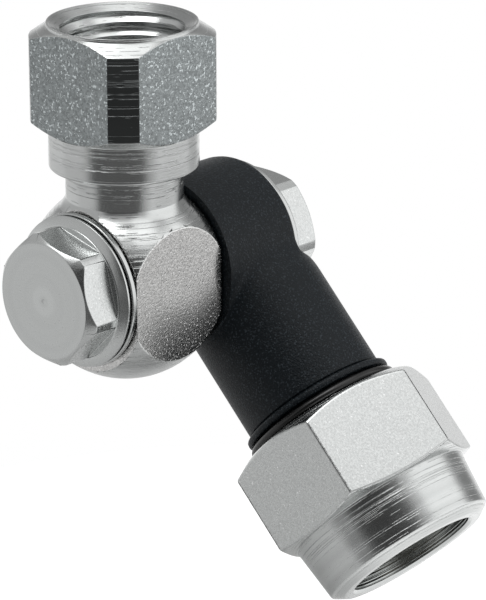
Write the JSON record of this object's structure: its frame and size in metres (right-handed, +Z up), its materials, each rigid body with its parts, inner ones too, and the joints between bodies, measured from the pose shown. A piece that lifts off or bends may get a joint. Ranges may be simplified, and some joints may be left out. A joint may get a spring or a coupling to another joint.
{
  "type": "hose swivel joint",
  "caption": "Angle swivel joint for a hose: threaded square inlet on a ball-shaped body, hollow pivot bolt, black swivelling arm and a hexagonal hose nut.",
  "frame": {"origin": "centre of the inlet's mouth, at the end face of the female thread", "axes": "+Z up along the inlet's axis and out of its mouth; +Y along the pivot bolt from its head to the arm; +X to the side that the arm leans to at rest"},
  "size_m": [0.0553, 0.047, 0.0786],
  "materials": {
    "nickel_plate": "nickel plated, milled and turned",
    "turned_steel": "nickel plated, turned",
    "brass": "turned",
    "black_coat": "fine-grained matt black coating",
    "black_rubber": "smooth",
    "slide_ring": "smooth"
  },
  "bodies": {
    "inlet": {"inlet_body": "nickel_plate", "hollow_bolt": "turned_steel", "bolt_seal_washer": "turned_steel", "ball_o_ring": "black_rubber", "arm_o_ring_inner": "black_rubber", "arm_o_ring_outer": "black_rubber", "outer_thrust_washer": "turned_steel", "cap_nut": "turned_steel", "cap_nut_seal": "black_rubber"},
    "swivel_arm": {"arm": "black_coat", "inner_thrust_washer": "slide_ring", "hose_tail": "brass", "tail_o_ring": "black_rubber", "dust_ring": "black_rubber"},
    "clamp": {"clamp_ring": "brass"},
    "nut": {"hose_nut": "nickel_plate"}
  },
  "joints": [
    {"name": "arm_swivel", "type": "hinge", "parent": "inlet", "child": "swivel_arm", "pos_m": [0, 0.01756, -0.0348], "axis": [0, 1, 0], "range_deg": [-94, 184]},
    {"name": "clamp_ring_slide", "type": "slide", "parent": "swivel_arm", "child": "clamp", "axis": [0.7071, 0, -0.7071], "range_m": [0, 0.009]},
    {"name": "hose_nut_turn", "type": "hinge", "parent": "clamp", "child": "nut", "pos_m": [0.02828, 0.01756, -0.06308], "axis": [0.7071, 0, -0.7071], "range_deg": [0, 2160]}
  ],
  "couplings": [
    {"joint": "clamp_ring_slide", "follows": "hose_nut_turn", "m_per_rad": 0.00023873}
  ]
}
